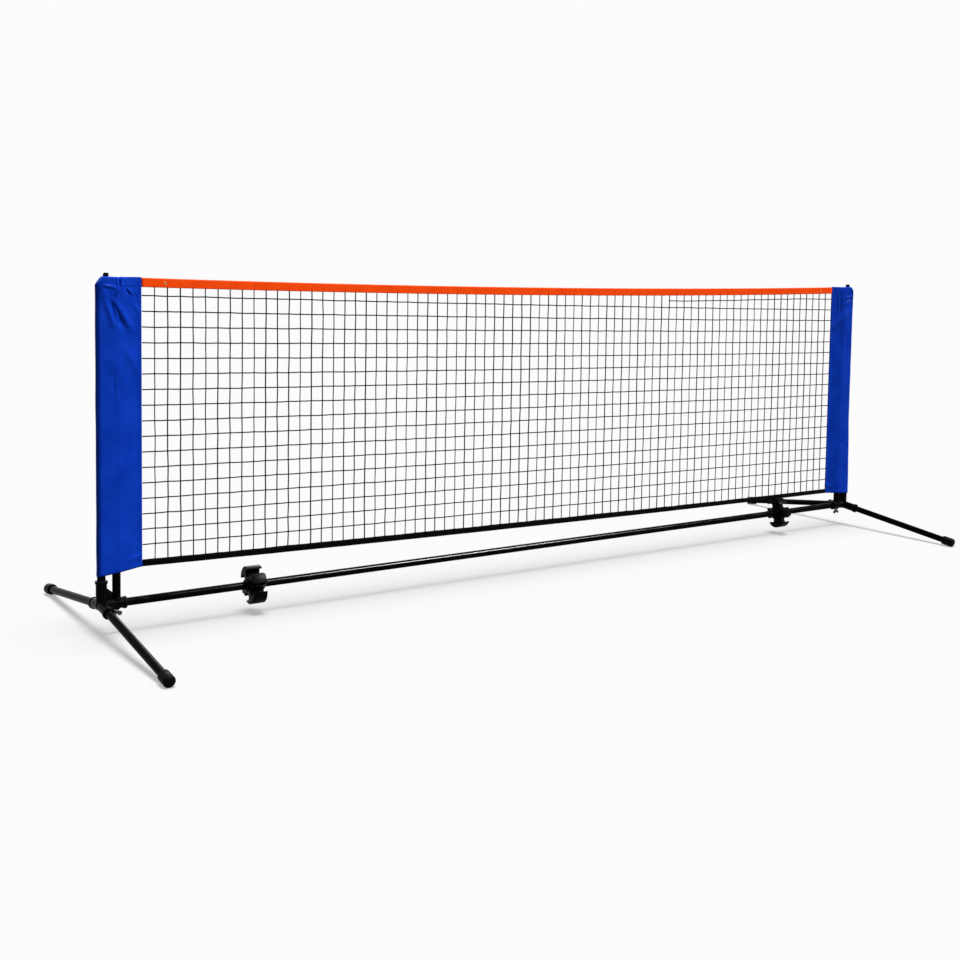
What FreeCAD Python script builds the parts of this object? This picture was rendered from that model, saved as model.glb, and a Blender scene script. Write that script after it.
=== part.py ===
import FreeCAD, Part
import math
import os

# Portable family sports net: two corner fittings joined by a floor rail, each with
# two splayed legs, an outer post and an inner upright, and a net hung between two
# cloth sleeves that slip over the uprights.
# Millimetres. +X runs along the net, +Z is up, the floor is Z = 0.

# Overall layout
span = 3000.0                 # outside width over the two corner sockets
tape_top_z = 945.0            # top edge of the top tape at its ends

# Steel tube, used for rail, posts, uprights and legs
tube_d = 22.0
tube_wall = 1.2
slip = 0.05                   # radial clearance of a tube in a socket or bore
plug_len = 18.0               # how far a plastic plug reaches into a tube

# Moulded corner fitting
socket_len = 66.0             # hub centre to each socket mouth
socket_d = 29.0
rim_d = 33.0
rim_w = 9.0
rim_chamfer = 1.5
hub_d = 33.0
tube_seat = 16.0              # hub centre to the inner end of each tube
web_t = 9.0
web_top = 44.0                # web height on the post socket
web_fall = 12.0               # how far the web drops towards the upright
web_gap = 0.5
upright_offset = 40.0         # inner upright, measured from the post
saddle_d = 26.0
saddle_rise = 2.5             # saddle face above the rail socket
spigot_len = 28.0
boss_d = 18.0
boss_drop = 1.5               # bolt boss face below the rail socket

# Bolt, washer and wing nut under each rail socket
bolt_d = 6.0
bolt_hole_gap = 0.25
bolt_head_d = 11.0
bolt_head_h = 4.0
bolt_pocket_gap = 1.0
bolt_floor = 2.0              # plastic under the bolt head
bolt_tail = 4.0               # bolt end below the wings
washer_d = 14.0
washer_t = 1.6
nut_d = 12.0
nut_h = 9.0
nut_gap = 0.1
wing_r = 6.5
wing_t = 2.4
wing_reach = 15.0             # nut axis to the wing tip
wing_fall = 7.0               # wing centre below the nut's top

# Legs and rubber feet
leg_slope = 7.3               # degrees below level
leg_tip = 505.0               # hub centre to the end of the leg tube
foot_d = 31.0
foot_len = 42.0
foot_end = 8.0                # rubber beyond the tube's end
foot_chamfer = 4.0
foot_flat = 0.5               # depth of the flat worn on the floor

# Floor rail in three lengths
rail_mid_len = 960.0          # visible length of the middle tube
neck_len = 60.0               # reduced ends of the middle tube
neck_wall = 1.2

# Storage clips on the rail
clip_len = 42.0
clip_lobe_r = 36.0
clip_lobe_z = 19.0
clip_ring_d = 35.0
clip_ring_len = 56.0
clip_front_y = 45.0
clip_front_h = 27.0
clip_back_y = 44.0
clip_back_h = 18.0
seat_y = 19.5
seat_z = 27.0
seat_gap = 0.3                # seat radius over the tube radius
seat_mouth = 15.0
clip_left_in = 433.5           # left clip, measured from the post
clip_left_turn = -33.0        # degrees about the rail
clip_right_in = 373.5
clip_right_turn = -10.0

# Cloth sleeves
sleeve_wall = 0.8
sleeve_gap = 0.5              # cloth to tube
sleeve_reach = 110.0          # post axis to the seam beside the net
sleeve_top_rise = 2.0         # sleeve top above the tape
seam_w = 12.0
sleeve_shoulder = 6.0         # flat stretch past the upright before it tapers
hem_band_h = 26.0
hem_band_t = 0.5
corner_drop = 22.0            # slanted outer top corner
corner_in = 5.0               # where the slant starts, measured from the post axis
hem_above_collar = 12.0       # left hem, above the post socket
hem_below_collar = 20.0       # right hem, pulled down over the post socket
hem_rise_left = 13.0          # hem at the seam above the hem at the post
hem_rise_right = 8.0
skirt_gap = 0.4               # cloth to the post socket's rim

# Post cap that carries the sleeve
cap_offset = 15.0             # knob, measured from the post axis
cap_shoulder_d = 18.5
cap_knob_d = 16.0
cap_rise = 10.0               # knob above the sleeve
cap_flange = 4.0
cap_chamfer = 2.5
knob_hole_gap = 0.5
post_below_top = 27.0         # sleeve top to the post's end

# Net, tapes and eyelets
soft_gap = 0.3
tape_h = 25.0
tape_t = 3.4
tape_skin = 0.6
tape_fold = 3.0               # solid fold at the tape's closed edge
tape_sag = 14.0
low_tape_h = 15.5
low_tape_sag = 6.0
net_t = 1.6
string_w = 1.8
cells_across = 77
cell_h = 41.8
upright_stride = 3            # the solid keeps every third upright string
level_stride = 2              # and every second level string
first_string = 22.0           # first string below the tape, at the left
string_drop = 41.0            # strings run lower to the right by this much
string_sag = 4.0
edge_bite = 4.0               # net edge strip that shows under neither tape
eyelet_in = 65.0              # eyelet centre from the tape's end
eyelet_d = 10.0
eyelet_barrel_d = 6.0
eyelet_bore_d = 4.0
eyelet_lip = 0.8
eyelet_gap = 0.2

# Values that follow from the sizes above
V = FreeCAD.Vector
tube_r = tube_d / 2
bore_r = tube_r + slip
tube_in_r = tube_r - tube_wall
slope = math.radians(leg_slope)
foot_tip = leg_tip + foot_end
hub_z = (foot_tip - foot_chamfer) * math.sin(slope) + foot_d / 2 * math.cos(slope) - foot_flat
post_x = span / 2 - rim_d / 2
collar_top = hub_z + socket_len
saddle_z = hub_z + socket_d / 2 + saddle_rise
boss_z = hub_z - socket_d / 2 - boss_drop
bolt_x = post_x - upright_offset
bolt_seat_z = saddle_z + bolt_floor
nut_top_z = boss_z - washer_t - nut_gap
wing_z = nut_top_z - wing_fall - wing_r / 2
bolt_tip_z = wing_z - wing_r - bolt_tail
sleeve_top = tape_top_z + sleeve_top_rise
post_top = sleeve_top - post_below_top
sleeve_in_r = tube_r + sleeve_gap
sleeve_out_r = sleeve_in_r + sleeve_wall
net_half = post_x - sleeve_reach - soft_gap
hem_left = collar_top + hem_above_collar
hem_right = collar_top - hem_below_collar
low_left = hem_left + hem_rise_left
low_right = hem_right + hem_rise_right
seat_r = tube_r + seat_gap
clip_left_x = -post_x + clip_left_in
clip_right_x = post_x - clip_right_in


def rod(r, p, d, length):
    return Part.makeCylinder(r, length, V(*p), V(*d))


def pipe(r_out, r_in, p, d, length):
    return rod(r_out, p, d, length).cut(rod(r_in, p, d, length))


def box(x0, x1, y0, y1, z0, z1):
    return Part.makeBox(x1 - x0, y1 - y0, z1 - z0, V(x0, y0, z0))


def union(shapes):
    out = shapes[0]
    for s in shapes[1:]:
        out = out.fuse(s)
    return out.removeSplitter()


def mirrored(shape):
    return shape.mirror(V(0, 0, 0), V(1, 0, 0))


def chamfered_rod(r, p, d, length, c, ends="both"):
    axis = V(*d)
    axis.normalize()
    s = rod(r, p, d, length)
    far = V(*p) + axis * length
    edges = []
    for e in s.Edges:
        if len(e.Vertexes) == 1 and hasattr(e.Curve, "Radius"):
            at_far = (e.Curve.Center - far).Length < 0.01
            if ends == "both" or at_far:
                edges.append(e)
    return s.makeChamfer(c, edges)


def face_xz(points, y0, depth):
    wire = Part.makePolygon([V(x, y0, z) for x, z in points] + [V(points[0][0], y0, points[0][1])])
    return Part.Face(wire).extrude(V(0, depth, 0))


def along_leg(side_y, dist):
    # a point on a left leg's axis; side_y is -1 in front and 1 behind
    return (-post_x, side_y * dist * math.cos(slope), hub_z - dist * math.sin(slope))


def leg_dir(side_y):
    return (0, side_y * math.cos(slope), -math.sin(slope))


def corner_left():
    hub = (-post_x, 0, hub_z)
    r = socket_d / 2
    arms = [((0, 0, 1), hub), ((1, 0, 0), hub), (leg_dir(-1), hub), (leg_dir(1), hub)]
    solids = [Part.makeSphere(hub_d / 2, V(*hub))]
    for d, p in arms:
        start = V(*p) + V(*d) * (socket_len - rim_w)
        solids.append(rod(r, p, d, socket_len - rim_w / 2))
        solids.append(chamfered_rod(rim_d / 2, tuple(start), d, rim_w, rim_chamfer))
    web_x = -bolt_x - tube_r - web_gap
    solids.append(face_xz([(-post_x, hub_z), (-post_x, hub_z + web_top), (-post_x + r, hub_z + web_top),
                           (web_x, hub_z + web_top - web_fall), (web_x, hub_z)], -web_t / 2, web_t))
    solids.append(rod(saddle_d / 2, (-bolt_x, 0, hub_z), (0, 0, 1), saddle_z - hub_z))
    solids.append(rod(tube_in_r - slip, (-bolt_x, 0, hub_z), (0, 0, 1), saddle_z - hub_z + spigot_len))
    solids.append(rod(boss_d / 2, (-bolt_x, 0, boss_z), (0, 0, 1), hub_z - boss_z))
    body = union(solids)
    for d, p in arms:
        body = body.cut(rod(bore_r, tuple(V(*p) + V(*d) * tube_seat), d, socket_len))
    hole_r = bolt_d / 2 + bolt_hole_gap
    body = body.cut(rod(hole_r, (-bolt_x, 0, boss_z - 1), (0, 0, 1), bolt_seat_z - boss_z + 2))
    pocket_r = bolt_head_d / 2 + bolt_pocket_gap
    return body.cut(rod(pocket_r, (-bolt_x, 0, bolt_seat_z), (0, 0, 1), spigot_len + socket_d))


def rail_parts():
    x_in = rail_mid_len / 2
    x_out = post_x - tube_seat
    left = pipe(tube_r, tube_in_r, (-x_out, 0, hub_z), (1, 0, 0), x_out - x_in)
    hole_r = bolt_d / 2 + bolt_hole_gap
    left = left.cut(rod(hole_r, (-bolt_x, 0, hub_z - tube_d), (0, 0, 1), 2 * tube_d))
    neck_r = tube_in_r - slip
    mid = pipe(tube_r, neck_r - neck_wall, (-x_in, 0, hub_z), (1, 0, 0), rail_mid_len)
    neck = pipe(neck_r, neck_r - neck_wall, (-x_in - neck_len, 0, hub_z), (1, 0, 0),
                rail_mid_len + 2 * neck_len)
    return left, union([mid, neck]), mirrored(left)


def bolt_left():
    shank = rod(bolt_d / 2, (-bolt_x, 0, bolt_tip_z), (0, 0, 1), bolt_seat_z - bolt_tip_z)
    r = bolt_head_d / 2
    corners = [V(-bolt_x + r * math.cos(math.radians(60 * i)), r * math.sin(math.radians(60 * i)),
                 bolt_seat_z) for i in range(7)]
    head = Part.Face(Part.makePolygon(corners)).extrude(V(0, 0, bolt_head_h))
    return union([shank, head])


def washer_left():
    return pipe(washer_d / 2, bolt_d / 2 + bolt_hole_gap, (-bolt_x, 0, boss_z - washer_t),
                (0, 0, 1), washer_t)


def wing_nut_left():
    solids = [chamfered_rod(nut_d / 2, (-bolt_x, 0, nut_top_z), (0, 0, -1), nut_h, 1.0, "far")]
    reach = wing_reach - wing_r
    for s in (-1, 1):
        x = -bolt_x + s * reach
        solids.append(rod(wing_r, (x, -wing_t / 2, wing_z), (0, 1, 0), wing_t))
        root = [(-bolt_x, nut_top_z - 1), (x, wing_z + wing_r * 0.8), (x, wing_z - wing_r * 0.6),
                (-bolt_x, nut_top_z - nut_h + 1)]
        solids.append(face_xz(root, -wing_t / 2, wing_t))
    nut = union(solids)
    bore = rod(bolt_d / 2 + slip, (-bolt_x, 0, nut_top_z + 1), (0, 0, -1), nut_h + 2)
    tail = rod(bolt_d / 2 + 3 * slip, (-bolt_x, 0, nut_top_z - nut_h), (0, 0, -1), 4 * wing_r)
    return nut.cut(bore).cut(tail)


def leg(side_y):
    d = leg_dir(side_y)
    return pipe(tube_r, tube_in_r, along_leg(side_y, tube_seat), d, leg_tip - tube_seat)


def foot(side_y):
    d = leg_dir(side_y)
    start = foot_tip - foot_len
    cap = chamfered_rod(foot_d / 2, along_leg(side_y, start), d, foot_len, foot_chamfer, "far")
    cap = cap.cut(rod(bore_r, along_leg(side_y, start - 1), d, leg_tip - start + 1))
    floor = box(-post_x - foot_d, -post_x + foot_d, -2 * foot_tip, 2 * foot_tip, -foot_d, 0)
    return cap.cut(floor)


def post_left():
    base = hub_z + tube_seat
    return pipe(tube_r, tube_in_r, (-post_x, 0, base), (0, 0, 1), post_top - base)


def upright_left():
    return pipe(tube_r, tube_in_r, (-bolt_x, 0, saddle_z), (0, 0, 1), post_top - saddle_z)


def upright_plug_left():
    stem = rod(tube_in_r - slip, (-bolt_x, 0, post_top - plug_len), (0, 0, 1), plug_len)
    lid = chamfered_rod(tube_r, (-bolt_x, 0, post_top), (0, 0, 1), cap_flange, 1.5, "far")
    return union([stem, lid])


def post_cap_left():
    x = -post_x + cap_offset
    shoulder_top = sleeve_top - sleeve_wall - soft_gap
    stem = rod(tube_in_r - slip, (-post_x, 0, post_top - plug_len), (0, 0, 1), plug_len)
    flange = rod(tube_r, (-post_x, 0, post_top), (0, 0, 1), cap_flange)
    shoulder = rod(cap_shoulder_d / 2, (x, 0, post_top), (0, 0, 1), shoulder_top - post_top)
    knob = chamfered_rod(cap_knob_d / 2, (x, 0, post_top), (0, 0, 1),
                         sleeve_top + cap_rise - post_top, cap_chamfer, "far")
    return union([stem, flange, shoulder, knob])


def sleeve_outline(r, shoulder_r, seam_half, x_end, z0, height, grow=0.0):
    # closed outline round post and upright that tapers to the seam; local x from the post
    u = upright_offset + sleeve_shoulder
    a = -post_x
    q = (r + grow) * math.sqrt(0.5)
    top = r + grow
    pts = [V(a, top, z0), V(a - q, q, z0), V(a - top, 0, z0), V(a - q, -q, z0), V(a, -top, z0)]
    s = shoulder_r + grow
    t = seam_half + grow
    edges = [Part.Arc(pts[0], pts[1], pts[2]).toShape(), Part.Arc(pts[2], pts[3], pts[4]).toShape()]
    run = [pts[4], V(a + u, -s, z0), V(a + x_end - seam_w, -t, z0), V(a + x_end, -t, z0),
           V(a + x_end, t, z0), V(a + x_end - seam_w, t, z0), V(a + u, s, z0), pts[0]]
    for p, q2 in zip(run, run[1:]):
        edges.append(Part.makeLine(p, q2))
    return Part.Face(Part.Wire(edges)).extrude(V(0, 0, height))


def sleeve_cavity(r, shoulder_r, z0, height):
    u = upright_offset + sleeve_shoulder
    a = -post_x
    q = r * math.sqrt(0.5)
    tip = sleeve_reach - seam_w - 2 * sleeve_wall
    tip_half = 0.5 * sleeve_wall
    pts = [V(a, r, z0), V(a - q, q, z0), V(a - r, 0, z0), V(a - q, -q, z0), V(a, -r, z0)]
    edges = [Part.Arc(pts[0], pts[1], pts[2]).toShape(), Part.Arc(pts[2], pts[3], pts[4]).toShape()]
    run = [pts[4], V(a + u, -shoulder_r, z0), V(a + tip, -tip_half, z0), V(a + tip, tip_half, z0),
           V(a + u, shoulder_r, z0), pts[0]]
    for p, q2 in zip(run, run[1:]):
        edges.append(Part.makeLine(p, q2))
    return Part.Face(Part.Wire(edges)).extrude(V(0, 0, height))


def sleeve(hem_out, hem_in, collar=False):
    # the sleeve on the left side; collar widens its foot over the post socket
    top = sleeve_top
    low = min(hem_out, hem_in) - 2 * rim_d
    seam_half = tape_t / 2
    wide = rim_d / 2 + skirt_gap
    outer = sleeve_outline(sleeve_out_r, sleeve_out_r, seam_half, sleeve_reach, low, top - low)
    band = sleeve_outline(sleeve_out_r, sleeve_out_r, seam_half, sleeve_reach,
                          top - hem_band_h, hem_band_h, hem_band_t)
    solids = [outer, band]
    cavity = sleeve_cavity(sleeve_in_r, sleeve_in_r, low - 1, top - sleeve_wall - low + 1)
    if collar:
        skirt_top = collar_top + soft_gap
        solids.append(sleeve_outline(wide + sleeve_wall, sleeve_out_r + 1.5, seam_half, sleeve_reach,
                                     low, skirt_top + sleeve_wall - low))
        cavity = cavity.fuse(sleeve_cavity(wide, sleeve_in_r + 1.5, low - 1, skirt_top - low + 1))
    outer = union(solids)
    x0 = -post_x - 2 * rim_d
    x1 = -post_x + sleeve_reach
    rise = (hem_in - hem_out) / (sleeve_reach + sleeve_out_r)
    z_at = hem_out - rise * (2 * rim_d - sleeve_out_r)
    cx = -post_x + corner_in
    ox = -post_x - sleeve_out_r - hem_band_t
    steep = corner_drop / (cx - ox)
    trim = [(x0, z_at), (x1, hem_in), (x1, top), (cx, top), (x0, top - steep * (cx - x0))]
    outer = outer.common(face_xz(trim, -2 * rim_d, 4 * rim_d))
    shift = sleeve_wall * math.sqrt(1 + steep * steep)
    inner = [(x0, low - 2), (x1, low - 2), (x1, top), (cx + shift / steep, top),
             (x0, top - shift - steep * (cx - x0))]
    cavity = cavity.common(face_xz(inner, -2 * rim_d, 4 * rim_d))
    hole = rod(cap_knob_d / 2 + knob_hole_gap, (-post_x + cap_offset, 0, top - 5), (0, 0, 1), 10)
    return outer.cut(cavity).cut(hole)


def part_way(x):
    return (x + net_half) / (2 * net_half)


def tape_low_edge(x):
    t = part_way(x)
    return tape_top_z - tape_h - tape_sag * 4 * t * (1 - t)


def low_tape_edge(x):
    t = part_way(x)
    return low_left + (low_right - low_left) * t - low_tape_sag * 4 * t * (1 - t)


def string_z(k, x):
    t = part_way(x)
    start = tape_top_z - tape_h - first_string
    return start - cell_h * (k - 1) - string_drop * t - string_sag * 4 * t * (1 - t)


def strip(x0, x1, z_low, z_high, y_half):
    # band between two sagging edges given as functions of x
    xm = (x0 + x1) / 2
    p = [V(x, -y_half, z_high(x)) for x in (x0, xm, x1)]
    q = [V(x, -y_half, z_low(x)) for x in (x1, xm, x0)]
    edges = [Part.Arc(*p).toShape(), Part.makeLine(p[2], q[0]), Part.Arc(*q).toShape(),
             Part.makeLine(q[2], p[0])]
    return Part.Wire(edges)


def band(x0, x1, z_low, z_high, y_half):
    return Part.Face(strip(x0, x1, z_low, z_high, y_half)).extrude(V(0, 2 * y_half, 0))


def eyelet_spots():
    x = net_half - eyelet_in
    return [(s * x, tape_low_edge(s * x) + tape_h / 2) for s in (-1, 1)]


def tape_top():
    slot = net_t / 2 + soft_gap
    body = band(-net_half, net_half, tape_low_edge, lambda x: tape_low_edge(x) + tape_h, tape_t / 2)
    body = body.cut(band(-net_half - 1, net_half + 1, lambda x: tape_low_edge(x) - tape_fold,
                         lambda x: tape_low_edge(x) + tape_h - tape_fold, slot))
    for x, z in eyelet_spots():
        body = body.cut(rod(eyelet_barrel_d / 2 + eyelet_gap, (x, -tape_t, z), (0, 1, 0), 2 * tape_t))
    return body


def tape_bottom():
    slot = net_t / 2 + soft_gap
    body = band(-net_half, net_half, low_tape_edge, lambda x: low_tape_edge(x) + low_tape_h, tape_t / 2)
    return body.cut(band(-net_half - 1, net_half + 1, lambda x: low_tape_edge(x) + tape_fold,
                         lambda x: low_tape_edge(x) + low_tape_h + tape_fold, slot))


def quad(x0, x1, z_low, z_high, y):
    pts = [V(x0, y, z_low(x0)), V(x1, y, z_low(x1)), V(x1, y, z_high(x1)), V(x0, y, z_high(x0))]
    return Part.makePolygon(pts + [pts[0]])


def net_mesh():
    half = string_w / 2
    pitch = 2 * net_half / cells_across
    bars = [0] + list(range(upright_stride, cells_across, upright_stride)) + [cells_across]
    high = lambda x: tape_low_edge(x) + edge_bite
    low = lambda x: low_tape_edge(x) + low_tape_h - edge_bite
    room = string_z(1, -net_half) - low(-net_half) - 2 * edge_bite
    levels = list(range(1, 2 + int(room / cell_h), level_stride))
    y = -net_t / 2
    holes = []
    for a, b in zip(bars, bars[1:]):
        x0 = -net_half + a * pitch + half
        x1 = -net_half + b * pitch - half
        tops = [high] + [lambda x, k=k: string_z(k, x) - half for k in levels]
        feet = [lambda x, k=k: string_z(k, x) + half for k in levels] + [low]
        top_string = lambda x: string_z(0, x)
        if min(high(x) - top_string(x) for x in (x0, x1)) > edge_bite:
            holes.append(quad(x0, x1, lambda x: top_string(x) + half, high, y))
            tops[0] = lambda x: top_string(x) - half
        for top, foot_edge in zip(tops, feet):
            holes.append(quad(x0, x1, foot_edge, top, y))
    outer = strip(-net_half, net_half, lambda x: low_tape_edge(x) + tape_fold + soft_gap,
                  lambda x: tape_low_edge(x) + tape_h - tape_fold - soft_gap, net_t / 2)
    print("net holes", len(holes))
    face = Part.makeFace([outer] + holes, "Part::FaceMakerBullseye")
    sheet = face.extrude(V(0, net_t, 0))
    for x, z in eyelet_spots():
        sheet = sheet.cut(rod(eyelet_barrel_d / 2 + eyelet_gap, (x, -net_t, z), (0, 1, 0), 2 * net_t))
    return sheet


def eyelet(x, z):
    half = tape_t / 2
    barrel = rod(eyelet_barrel_d / 2, (x, -half - eyelet_lip, z), (0, 1, 0), tape_t + 2 * eyelet_lip)
    front = rod(eyelet_d / 2, (x, -half - eyelet_lip, z), (0, 1, 0), eyelet_lip)
    back = rod(eyelet_d / 2, (x, half, z), (0, 1, 0), eyelet_lip)
    ring = union([barrel, front, back])
    return ring.cut(rod(eyelet_bore_d / 2, (x, -tape_t, z), (0, 1, 0), 2 * tape_t))


def clip(x, turn):
    x0 = x - clip_len / 2
    z = hub_z
    solids = [rod(clip_lobe_r, (x0, 0, z + s * clip_lobe_z), (1, 0, 0), clip_len) for s in (-1, 1)]
    solids.append(box(x0, x0 + clip_len, -clip_front_y, 0, z - clip_front_h / 2, z + clip_front_h / 2))
    solids.append(box(x0, x0 + clip_len, 0, clip_back_y, z - clip_back_h / 2, z + clip_back_h / 2))
    solids.append(chamfered_rod(clip_ring_d / 2, (x - clip_ring_len / 2, 0, z), (1, 0, 0),
                                clip_ring_len, 1.5))
    body = union(solids)
    for sy in (-1, 1):
        for sz in (-1, 1):
            cy, cz = sy * seat_y, z + sz * seat_z
            body = body.cut(rod(seat_r, (x0 - 1, cy, cz), (1, 0, 0), clip_len + 2))
            y_out = sy * 2 * clip_lobe_r
            body = body.cut(box(x0 - 1, x0 + clip_len + 1, min(cy, y_out), max(cy, y_out),
                                cz - seat_mouth / 2, cz + seat_mouth / 2))
    body = body.cut(rod(bore_r, (x - clip_ring_len, 0, z), (1, 0, 0), 2 * clip_ring_len))
    body.rotate(V(0, 0, z), V(1, 0, 0), turn)
    return body


def build():
    rail_left, rail_middle, rail_right = rail_parts()
    corner = corner_left()
    nodes = {
        "corner_left": corner, "corner_right": mirrored(corner),
        "rail_left": rail_left, "rail_middle": rail_middle, "rail_right": rail_right,
        "tape_top": tape_top(), "tape_bottom": tape_bottom(), "net_mesh": net_mesh(),
        "sleeve_left": sleeve(hem_left, low_left),
        "sleeve_right": mirrored(sleeve(hem_right, low_right, True)),
        "clip_left": clip(clip_left_x, clip_left_turn),
        "clip_right": clip(clip_right_x, clip_right_turn),
    }
    pairs = {"post": post_left(), "upright": upright_left(), "post_cap": post_cap_left(),
             "upright_plug": upright_plug_left(), "wing_nut": wing_nut_left()}
    for name, shape in pairs.items():
        nodes[name + "_left"] = shape
        nodes[name + "_right"] = mirrored(shape)
    for place, side in (("front", -1), ("back", 1)):
        for name, shape in (("leg", leg(side)), ("foot", foot(side))):
            nodes[name + "_" + place + "_left"] = shape
            nodes[name + "_" + place + "_right"] = mirrored(shape)
    bolt, washer = bolt_left(), washer_left()
    nodes["arm_bolts"] = Part.makeCompound([bolt, mirrored(bolt)])
    nodes["arm_washers"] = Part.makeCompound([washer, mirrored(washer)])
    nodes["eyelets"] = Part.makeCompound([eyelet(x, z) for x, z in eyelet_spots()])
    return nodes


os.makedirs("parts", exist_ok=True)
for node, shape in build().items():
    if not shape.isValid():
        print("not valid:", node)
    shape.exportStep("parts/" + node + ".step")
    print(node, len(shape.Solids), "solid(s)", round(shape.Volume / 1000, 2), "cm3")
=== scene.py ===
import math
import random

import bmesh
import bpy
from mathutils import Matrix, Vector, noise


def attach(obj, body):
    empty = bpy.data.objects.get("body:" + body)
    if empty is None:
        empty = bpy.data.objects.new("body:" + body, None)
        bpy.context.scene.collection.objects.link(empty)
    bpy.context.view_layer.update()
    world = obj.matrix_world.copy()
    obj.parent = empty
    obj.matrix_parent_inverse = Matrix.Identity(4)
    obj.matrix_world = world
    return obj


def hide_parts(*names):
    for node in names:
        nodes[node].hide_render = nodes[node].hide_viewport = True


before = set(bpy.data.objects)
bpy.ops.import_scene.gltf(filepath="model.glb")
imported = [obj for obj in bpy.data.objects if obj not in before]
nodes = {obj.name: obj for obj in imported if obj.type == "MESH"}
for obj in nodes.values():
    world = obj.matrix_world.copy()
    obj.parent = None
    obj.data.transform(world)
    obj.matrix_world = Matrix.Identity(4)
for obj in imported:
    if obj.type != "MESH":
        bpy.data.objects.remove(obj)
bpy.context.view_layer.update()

# Millimetres up to the last step of each piece, where they become metres.
POST = 1483.5            # post axis from the middle of the net
UPRIGHT = 1443.5         # inner upright and clamp bolt
HUB_Z = 79.55            # rail axis over the floor
SLOPE = math.radians(7.3)
TUBE_R = 11.0
SLEEVE_TOP = 947.0
CAP_IN = 15.0            # knob of the post cap, from the post axis
NET_HALF = 1373.2
SIDES = (("left", -1), ("right", 1))
rng = random.Random(7)


# Materials

def hex_colour(code):
    parts = [int(code[i:i + 2], 16) / 255 for i in (1, 3, 5)]
    line = [c / 12.92 if c <= 0.04045 else ((c + 0.055) / 1.055) ** 2.4 for c in parts]
    return (*line, 1.0)


def node(tree, kind, settings=None, links=None):
    made = tree.nodes.new("ShaderNode" + kind)
    for key, value in (settings or {}).items():
        if isinstance(key, int) or key in made.inputs:
            made.inputs[key].default_value = value
        else:
            setattr(made, key, value)
    for key, source in (links or {}).items():
        tree.links.new(source, made.inputs[key])
    return made


def blank(name):
    made = bpy.data.materials.new(name)
    made.use_nodes = True
    made.node_tree.nodes.clear()
    return made, made.node_tree


def patches(tree, place, size, detail, tones, edge):
    # soft patches about size millimetres across, whose two near tones blend between edge and 1 - edge
    spots = node(tree, "TexNoise", {"Scale": 1000 / size, "Detail": detail, "Roughness": 0.6},
                 {"Vector": place})
    share = node(tree, "MapRange", {"From Min": edge, "From Max": 1 - edge},
                 {"Value": spots.outputs["Fac"]})
    tone = node(tree, "Mix", {"data_type": "RGBA", 6: hex_colour(tones[0]), 7: hex_colour(tones[1])},
                {"Factor": share.outputs["Result"]})
    return spots.outputs["Fac"], tone.outputs[2]


def mottled(name, low, high, patch, grain, grain_height, rough, metallic=0.0, level=0.5):
    # moulded, coated and plated faces: patches of two near tones, a fine grain and uneven gloss;
    # patch, grain and grain_height are millimetres
    made, tree = blank(name)
    place = node(tree, "TexCoord").outputs["Object"]
    spots, tone = patches(tree, place, patch, 4.0, (low, high), 0.35)
    fine = node(tree, "TexNoise", {"Scale": 1000 / grain, "Detail": 3.0, "Roughness": 0.55},
                {"Vector": place})
    gloss = node(tree, "MapRange", {"From Min": 0.3, "From Max": 0.7, "To Min": rough - 0.06,
                                    "To Max": rough + 0.08}, {"Value": spots})
    bump = node(tree, "Bump", {"Strength": 0.6, "Distance": grain_height / 1000},
                {"Height": fine.outputs["Fac"]})
    shader = node(tree, "BsdfPrincipled", {"Metallic": metallic, "Specular IOR Level": level},
                  {"Base Color": tone, "Roughness": gloss.outputs["Result"],
                   "Normal": bump.outputs["Normal"]})
    node(tree, "OutputMaterial", links={"Surface": shader.outputs["BSDF"]})
    return made


WAVE_PERIOD = 0.314159   # a Wave texture of scale 1 repeats its bands every 0.314 metres


def band_scale(period):
    return WAVE_PERIOD / (period / 1000)


def woven(name, low, high, thread, thread_height, rough, level, ribs=None):
    # cloth and tape: crossing threads along the piece's own cloth map, with painted shade in the gaps
    # between them, soft worn patches, uneven gloss;
    # thread, thread_height and ribs are millimetres
    made, tree = blank(name)
    cloth = node(tree, "TexCoord").outputs["UV"]
    place = node(tree, "TexCoord").outputs["Object"]
    warp = node(tree, "TexWave", {"wave_type": "BANDS", "bands_direction": "X",
                                  "Scale": band_scale(thread), "Distortion": 0.4}, {"Vector": cloth})
    weft = node(tree, "TexWave", {"wave_type": "BANDS", "bands_direction": "Y",
                                  "Scale": band_scale(thread if ribs is None else ribs),
                                  "Distortion": 0.4}, {"Vector": cloth})
    cross = node(tree, "Math", {"operation": "MULTIPLY"},
                 {0: warp.outputs["Fac"], 1: weft.outputs["Fac"]})
    spots, tone = patches(tree, place, 70, 5.0, (low, high), 0.3)
    # painted shade: the colour darkens by up to 14 % in the gaps between the crossing threads
    shade = node(tree, "MapRange", {"To Min": 0.86, "To Max": 1.0}, {"Value": cross.outputs[0]})
    thread_gap_shaded_tone = node(tree, "Mix", {"data_type": "RGBA", "blend_type": "MULTIPLY", "Factor": 1.0},
                {6: tone, 7: shade.outputs["Result"]})
    gloss = node(tree, "MapRange", {"From Min": 0.3, "From Max": 0.7, "To Min": rough - 0.05,
                                    "To Max": rough + 0.07}, {"Value": spots})
    bump = node(tree, "Bump", {"Strength": 0.5, "Distance": thread_height / 1000},
                {"Height": cross.outputs[0]})
    shader = node(tree, "BsdfPrincipled", {"Specular IOR Level": level},
                  {"Base Color": thread_gap_shaded_tone.outputs[2], "Roughness": gloss.outputs["Result"],
                   "Normal": bump.outputs["Normal"]})
    node(tree, "OutputMaterial", links={"Surface": shader.outputs["BSDF"]})
    return made


# powder-coated steel tube: deep black with a thin bright line where a lamp mirrors, and the faint
# orange peel of baked powder; its gloss is lower than typical, so that white surroundings don't grey it
coated_steel = mottled("powder_coated_steel_tube", "#030303", "#070708", 60, 1.6, 0.01, 0.14,
                       level=0.008)
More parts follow.
